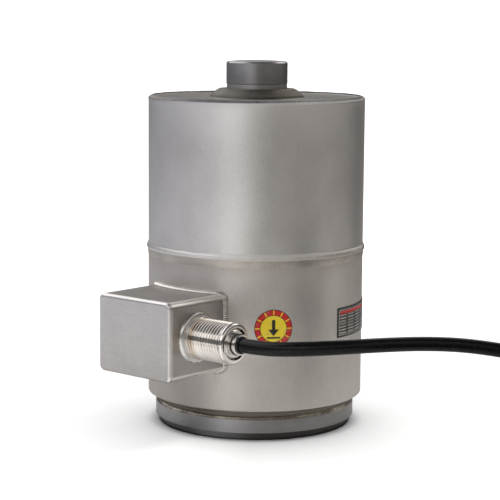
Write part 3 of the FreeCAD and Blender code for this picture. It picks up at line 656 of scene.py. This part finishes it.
for step in range(1, layers * turns_in_layer * points_in_turn + 1):
    turns = step / points_in_turn
    layer = min(int(turns / turns_in_layer), layers - 1)
    wound = turns - layer * turns_in_layer
    inwards = min(wound / turns_flat, 1.0)
    drop = max(wound - turns_flat, 0.0) / (turns_in_layer - turns_flat) if layer < layers - 1 else 0.0
    if layer % 2:
        inwards = 1.0 - inwards
    reach = (coil_outer + (coil_inner - coil_outer) * inwards) * bulge
    angle = coil_start - 2.0 * math.pi * turns
    cable_route.append((
        coil_middle[0] + reach * math.cos(angle),
        coil_middle[1] + reach * math.sin(angle),
        coil_top - layer_drop * (layer + drop),
    ))

line = bpy.data.curves.new("cable", "CURVE")
line.dimensions = "3D"
line.bevel_depth = cable_radius
line.bevel_resolution = 8
line.use_fill_caps = True
spline = line.splines.new("NURBS")
spline.points.add(len(cable_route) - 1)
for point, place in zip(spline.points, cable_route):
    point.co = (*place, 1.0)
spline.order_u = 3
spline.use_endpoint_u = True
spline.resolution_u = 5
spline.use_smooth = True
cable = bpy.data.objects.new("cable", line)
bpy.context.scene.collection.objects.link(cable)
cable_jacket = moulded(
    "cable_jacket", colour(0.003, 0.003, 0.0033), colour(0.006, 0.006, 0.0068), 0.22, 700.0, gloss=0.2,
)
dress(cable_jacket, "cable_jacket", "cable", "cable_inner_end")
tie_plastic = moulded("tie_plastic", colour(0.02, 0.02, 0.02), colour(0.04, 0.04, 0.04), 0.4, 700.0)
dress(tie_plastic, "tie_plastic", "coil_ties")
core_colours = {
    "red": ((0.5, 0.02, 0.02), (0.6, 0.04, 0.03)),
    "black": ((0.012, 0.012, 0.012), (0.03, 0.03, 0.03)),
    "green": ((0.02, 0.22, 0.05), (0.04, 0.3, 0.08)),
    "white": ((0.7, 0.7, 0.68), (0.8, 0.8, 0.78)),
}
for core, (deep, worn) in core_colours.items():
    jacket = moulded("lead_" + core, colour(*deep), colour(*worn), 0.4, 900.0)
    dress(jacket, "lead_" + core, "lead_" + core, "inner_lead_" + core)
shield_wire = turned_steel("shield_wire", colour(0.7, 0.68, 0.64), colour(0.5, 0.48, 0.45), 0.35, 3000.0)
dress(shield_wire, "shield_wire", "lead_shield", "inner_lead_shield")
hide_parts("cable_lead", "cable_coil")
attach(cable, "root")


# Sticker: a round printed vinyl sticker on the lower shell, between the gland and the plate. Its
# print is a plain inspection wheel with an arrow that shows which way the load goes.
def wrap(piece, middle_turn, middle_height, width, height):
    """Lays a flat piece round the can and maps its face, from 0 to 1 across and up."""
    map_of = piece.data.uv_layers[0] if piece.data.uv_layers else piece.data.uv_layers.new(name="face")
    for loop in piece.data.loops:
        place = piece.data.vertices[loop.vertex_index].co
        map_of.data[loop.index].uv = (place.x / width + 0.5, place.y / height + 0.5)
    for point in piece.data.vertices:
        turn = middle_turn + point.co.x / can_radius
        reach = can_radius + point.co.z
        point.co = (reach * math.sin(turn), -reach * math.cos(turn), middle_height + point.co.y)


sticker_radius, sticker_thick = 0.0087, 0.00012
sticker_turn, sticker_height = math.radians(50.05), 0.0522
bands, band_width = 6, 0.0013
bpy.ops.object.select_all(action="DESELECT")
bpy.ops.mesh.primitive_circle_add(vertices=64, radius=sticker_radius, fill_type="NGON")
bpy.ops.object.mode_set(mode="EDIT")
bpy.ops.mesh.select_all(action="SELECT")
for band in range(bands):
    bpy.ops.mesh.inset(thickness=band_width)
bpy.ops.mesh.select_all(action="SELECT")
bpy.ops.mesh.extrude_region_move(TRANSFORM_OT_translate={"value": (0.0, 0.0, sticker_thick)})
bpy.ops.mesh.select_all(action="SELECT")
bpy.ops.mesh.normals_make_consistent(inside=False)
bpy.ops.object.mode_set(mode="OBJECT")
wrap(bpy.context.object, sticker_turn, sticker_height, 2.0 * sticker_radius, 2.0 * sticker_radius)

# The print is laid out in shares of the sticker's radius from its middle.
vinyl = Finish(bpy.data.materials.new("sticker_print"))
right, high = vinyl.axes(vinyl.node("ShaderNodeTexCoord", {}, {}, "UV"))[:2]
across = 2.0 * right - 1.0
upward = 2.0 * high - 1.0
reach = (across * across + upward * upward) ** 0.5
turn = across.math("ARCTAN2", across, upward)
ticks_round = 12.0
spokes = turn.math("COSINE", ticks_round * turn)
aside = across.math("ABSOLUTE", across)


def between(finish, value, low, high, soft):
    """1 from low to high, with soft edges, and 0 outside."""
    return finish.step(value, low - soft, low + soft) * (1.0 - finish.step(value, high - soft, high + soft))


shaft = between(vinyl, upward, -0.1, 0.46, 0.015) * (1.0 - vinyl.step(aside, 0.075, 0.1))
tip, head_top, head_spread = -0.38, -0.04, 0.85
half_head = (upward - tip) * head_spread
head = between(vinyl, upward, tip, head_top, 0.012) * (1.0 - vinyl.step(aside - half_head, -0.015, 0.015))
ground = between(vinyl, upward, -0.52, -0.43, 0.012) * (1.0 - vinyl.step(aside, 0.34, 0.36))
ink = shaft.math("MAXIMUM", shaft, shaft.math("MAXIMUM", head, ground))
rim = between(vinyl, reach, 0.68, 0.715, 0.01)
rim = rim.math("MAXIMUM", rim, vinyl.step(reach, 0.95, 0.97))
ink = ink.math("MAXIMUM", ink, rim)
wheel = vinyl.step(reach, 0.69, 0.71)
ticks = wheel * vinyl.step(spokes, 0.88, 0.94)
grime = vinyl.grain((300.0, 300.0, 300.0), 4.0)
yellow = colour(0.93, 0.71, 0.02)
print_colour = vinyl.mix(wheel, yellow, colour(0.62, 0.012, 0.01))
print_colour = vinyl.mix(ticks, print_colour, yellow)
print_colour = vinyl.mix(ink, print_colour, colour(0.012, 0.011, 0.01))
vinyl.set({
    "Base Color": vinyl.mix(0.25 * vinyl.step(grime, 0.5, 0.75), print_colour, colour(0.3, 0.26, 0.22)),
    "Roughness": 0.38 + 0.2 * (grime - 0.5),
    "Normal": vinyl.bump(grime, 0.00002),
})
keep("sticker", vinyl.owner, "sticker_print")


# Data plate: a thin printed aluminium plate with rounded corners, glued round the can. Its border
# is painted dark as a shadow along its edge, one bar is red, and its raised fields are empty.
plate_from, plate_to = math.radians(88.6), math.radians(144.6)
plate_low, plate_high, plate_thick = 0.0451, 0.0588, 0.0003
plate_width = (plate_to - plate_from) * can_radius
plate_height = plate_high - plate_low
plate_turn = (plate_from + plate_to) / 2.0
plate_middle = (plate_low + plate_high) / 2.0
corner_radius = 0.0012
bpy.ops.object.select_all(action="DESELECT")
bpy.ops.mesh.primitive_grid_add(x_subdivisions=40, y_subdivisions=8, size=1.0)
bpy.ops.object.mode_set(mode="EDIT")
bpy.ops.mesh.select_all(action="SELECT")
bpy.ops.transform.resize(value=(plate_width, plate_height, 1.0))
bpy.ops.object.mode_set(mode="OBJECT")
for point in bpy.context.object.data.vertices:
    point.select = abs(point.co.x) > 0.499 * plate_width and abs(point.co.y) > 0.499 * plate_height
bpy.ops.object.mode_set(mode="EDIT")
bpy.ops.mesh.select_mode(type="VERT")
bpy.ops.mesh.bevel(offset=corner_radius, segments=4, affect="VERTICES")
bpy.ops.mesh.select_all(action="SELECT")
bpy.ops.mesh.extrude_region_move(TRANSFORM_OT_translate={"value": (0.0, 0.0, plate_thick)})
bpy.ops.mesh.select_all(action="SELECT")
bpy.ops.mesh.normals_make_consistent(inside=False)
bpy.ops.object.mode_set(mode="OBJECT")
wrap(bpy.context.object, plate_turn, plate_middle, plate_width, plate_height)

# The print is laid out in millimetres from the plate's lower left corner.
foil = Finish(bpy.data.materials.new("data_plate_foil"))
right, high = foil.axes(foil.node("ShaderNodeTexCoord", {}, {}, "UV"))[:2]
wide, tall = 1000.0 * plate_width, 1000.0 * plate_height
row_pitch, column_pitch, margin = 1.36, 7.4, 1.7
across = wide * right
upward = tall * high
to_side = across.math("MINIMUM", across, wide - across)
to_end = upward.math("MINIMUM", upward, tall - upward)
to_edge = to_side.math("MINIMUM", to_side, to_end)
# Painted shadow: a dark, non-metal line along the plate's edge.
painted_edge_shadow = 1.0 - foil.step(to_edge, 0.55, 0.75)
light_line = between(foil, to_edge, 0.75, 1.25, 0.1)
bar = between(foil, upward, 10.7, 12.1, 0.12) * between(foil, across, 1.6, 33.0, 0.15)
row = upward.math("FRACT", upward / row_pitch)
column = across.math("FRACT", across / column_pitch)
field = between(foil, row, 0.3, 0.72, 0.08) * between(foil, column, 0.1, 0.86, 0.02)
field = field * between(foil, upward, 1.5, 10.3, 0.05) * between(foil, across, margin, wide - margin, 0.05)
raised = field.math("MAXIMUM", field, light_line)
worn = foil.grain((400.0, 400.0, 400.0), 4.0)
skin = foil.mix(raised, colour(0.1, 0.098, 0.09), colour(0.6, 0.58, 0.55))
skin = foil.mix(bar, skin, colour(0.66, 0.03, 0.025))
skin = foil.mix(painted_edge_shadow, skin, colour(0.02, 0.02, 0.018))
foil.set({
    "Base Color": foil.mix(0.3 * foil.step(worn, 0.5, 0.8), skin, colour(0.3, 0.29, 0.27)),
    "Metallic": 0.75 * (1.0 - bar) * (1.0 - painted_edge_shadow),
    "Roughness": 0.36 + 0.2 * (worn - 0.5),
    "Normal": foil.bump(raised, 0.00008),
})
keep("data_plate", foil.owner, "data_plate_foil")


# Studio: a white paper floor that runs out of the picture, and a tent of soft panels all round the
# cell, bright on the left and behind, dark overhead. A beige table under the cell shows only in
# reflections. Each sheet has a wide lamp of its own, which lights nothing else.
flat_share = 0.2
camera_turn, camera_dip, camera_roll = (math.radians(turn) for turn in (40.76, 7.983, 0.446))
camera_place = (0.512722, -0.598859, 0.191285)


def floor_sheet(name, reach, height, rise):
    """A round sheet of paper, flat in the middle, with a wide rim that rises by so much."""
    bpy.ops.object.select_all(action="DESELECT")
    bpy.ops.mesh.primitive_circle_add(vertices=96, radius=reach, fill_type="NOTHING")
    bpy.ops.object.mode_set(mode="EDIT")
    bpy.ops.mesh.select_all(action="SELECT")
    bpy.ops.transform.translate(value=(0.0, 0.0, height + rise))
    bpy.ops.mesh.extrude_edges_move(TRANSFORM_OT_translate={"value": (0.0, 0.0, -rise)})
    bpy.ops.transform.resize(value=(flat_share, flat_share, 1.0), center_override=(0.0, 0.0, height))
    bpy.ops.mesh.edge_face_add()
    bpy.ops.mesh.select_all(action="SELECT")
    bpy.ops.mesh.normals_make_consistent(inside=False)
    bpy.ops.object.mode_set(mode="OBJECT")
    sheet = bpy.context.object
    sheet.name = name
    return sheet


def compass(finish, place):
    """How far a place or a direction lies to the camera's right, towards the camera and up."""
    east, north, up = finish.axes(place)
    to_right = east * math.cos(camera_turn) + north * math.sin(camera_turn)
    to_camera = east * math.sin(camera_turn) - north * math.cos(camera_turn)
    return to_right, to_camera, up


def ramp(finish, share, stops):
    """Shades by a value from 0 to 1, straight from stop to stop."""
    return finish.node("ShaderNodeValToRGB", {"stops": stops}, {"Fac": share})


def around(finish, to_right, to_camera, stops):
    """Shades by direction round the cell, in degrees from the camera's and positive to its right."""
    turn = to_right.math("ARCTAN2", to_right, to_camera) / (2.0 * math.pi) + 0.5
    return ramp(finish, turn, [(angle / 360.0 + 0.5, colour(*shade)) for angle, *shade in stops])


def shaded(finish, shade, share):
    """A shade dimmed or lifted by another, channel by channel."""
    return finish.node("ShaderNodeVectorMath", {"operation": "MULTIPLY"}, {0: shade, 1: share})


def paper(name, light, dark):
    """Paper with faint fibres, as a finish and its shade."""
    sheet = Finish(bpy.data.materials.new(name))
    fibre = sheet.grain((60.0, 60.0, 60.0), 3.0)
    return sheet, sheet.mix(fibre, dark, light)


floor = floor_sheet("floor", reach=40.0, height=-0.0002, rise=4.0)
floor.visible_glossy = False
white, shade = paper("floor_paper", colour(0.53, 0.53, 0.53), colour(0.5, 0.5, 0.5))
floor.data.materials.append(white.set({"Base Color": shade, "Roughness": 0.9}))
table = floor_sheet("table", reach=0.25, height=-0.0001, rise=0.0)
table.visible_camera = False
beige, shade = paper("table_paper", colour(0.37, 0.364, 0.355), colour(0.35, 0.344, 0.335))
# The table's paper is painted lighter and darker by direction round the cell: a painted pool of light in
# front on the left, painted shade elsewhere.
table_light = [
    (-180.0, 0.75), (-105.0, 0.62), (-42.0, 0.62), (-31.0, 1.6), (-16.0, 1.6), (-2.0, 0.98), (60.0, 1.0),
    (110.0, 0.82), (180.0, 0.75),
]
to_right, to_camera = compass(beige, beige.place())[:2]
painted_light_pools = around(beige, to_right, to_camera, [(angle, share, share, share) for angle, share in table_light])
table.data.materials.append(beige.set({"Base Color": shaded(beige, shade, painted_light_pools), "Roughness": 0.9}))


def floor_lamp(sheet, width, lean, energy):
    """A wide lamp over the cell that lights one sheet, leaning back from the camera by so much."""
    lamp = bpy.data.lights.new(sheet.name + "_lamp", "SUN")
    lamp.angle = math.radians(width)
    lamp.energy = energy
    hung = bpy.data.objects.new(sheet.name + "_lamp", lamp)
    hung.rotation_euler = (math.radians(-lean), 0.0, camera_turn)
    hung.light_linking.receiver_collection = bpy.data.collections.new(sheet.name + "_lit")
    hung.light_linking.receiver_collection.objects.link(sheet)
    bpy.context.scene.collection.objects.link(hung)
    return hung


floor_lamp(table, width=30.0, lean=0.0, energy=4.6)
paper_lamp = floor_lamp(floor, width=72.0, lean=7.0, energy=7.3)
shades = bpy.data.collections.new("floor_shades")
for name in ("spring_element", "lower_shell", "upper_shell"):
    shades.objects.link(bpy.data.objects[name])
paper_lamp.light_linking.blocker_collection = shades

tent = bpy.data.worlds.new("studio")
bpy.context.scene.world = tent
light = Finish(tent, "Background")
wall_shades = [
    (-180.0, 0.4, 0.4, 0.41), (-160.0, 0.35, 0.35, 0.37), (-140.0, 0.46, 0.46, 0.49),
    (-90.0, 0.62, 0.62, 0.65), (-60.0, 0.75, 0.75, 0.78), (-45.0, 0.82, 0.82, 0.84),
    (-34.0, 1.03, 1.03, 1.03), (-20.0, 1.03, 1.03, 1.02), (-8.0, 0.73, 0.72, 0.7),
    (8.0, 0.43, 0.413, 0.391), (30.0, 0.42, 0.4, 0.374), (50.0, 0.48, 0.457, 0.43),
    (80.0, 0.42, 0.402, 0.379), (110.0, 0.34, 0.323, 0.306), (135.0, 0.2, 0.192, 0.184),
    (160.0, 0.24, 0.232, 0.225), (180.0, 0.4, 0.4, 0.41),
]
wall_rise = [(-1.0, 1.15), (-0.09, 1.18), (-0.04, 0.22), (0.3, 0.22), (0.37, 1.5), (1.0, 1.5)]
to_right, to_camera, up = compass(light, light.node("ShaderNodeTexCoord", {}, {}, "Generated"))
walls = around(light, to_right, to_camera, wall_shades)
rise_stops = [(0.5 * height + 0.5, colour(share, share, share)) for height, share in wall_rise]
walls = shaded(light, walls, ramp(light, 0.5 * up + 0.5, rise_stops))
overhead = light.step(up, 0.62, 0.78)
high_left = light.step(0.743 * up - 0.596 * to_right - 0.304 * to_camera, 0.875, 0.945)
behind = light.step(up, 0.36, 0.46) * (1.0 - light.step(up - 0.15 * to_right, 0.64, 0.74))
behind = behind * light.step(-1.0 * to_camera, 0.05, 0.35)
panels = light.mix(overhead, walls, colour(0.14, 0.14, 0.15))
panels = light.mix(high_left, panels, colour(1.5, 1.5, 1.56))
panels = light.mix(behind, panels, colour(1.75, 1.7, 1.62))
light.set({"Color": panels, "Strength": 1.0})

lens = bpy.data.cameras.new("camera")
lens.sensor_width = 36.0
lens.lens = 120.5668
lens.clip_start = 0.01
camera = bpy.data.objects.new("camera", lens)
bpy.context.scene.collection.objects.link(camera)
camera.matrix_world = (
    Matrix.Translation(camera_place)
    @ Matrix.Rotation(camera_turn, 4, "Z")
    @ Matrix.Rotation(math.pi / 2.0 - camera_dip, 4, "X")
    @ Matrix.Rotation(camera_roll, 4, "Z")
)
bpy.context.scene.camera = camera
bpy.context.scene.view_settings.view_transform = "Standard"
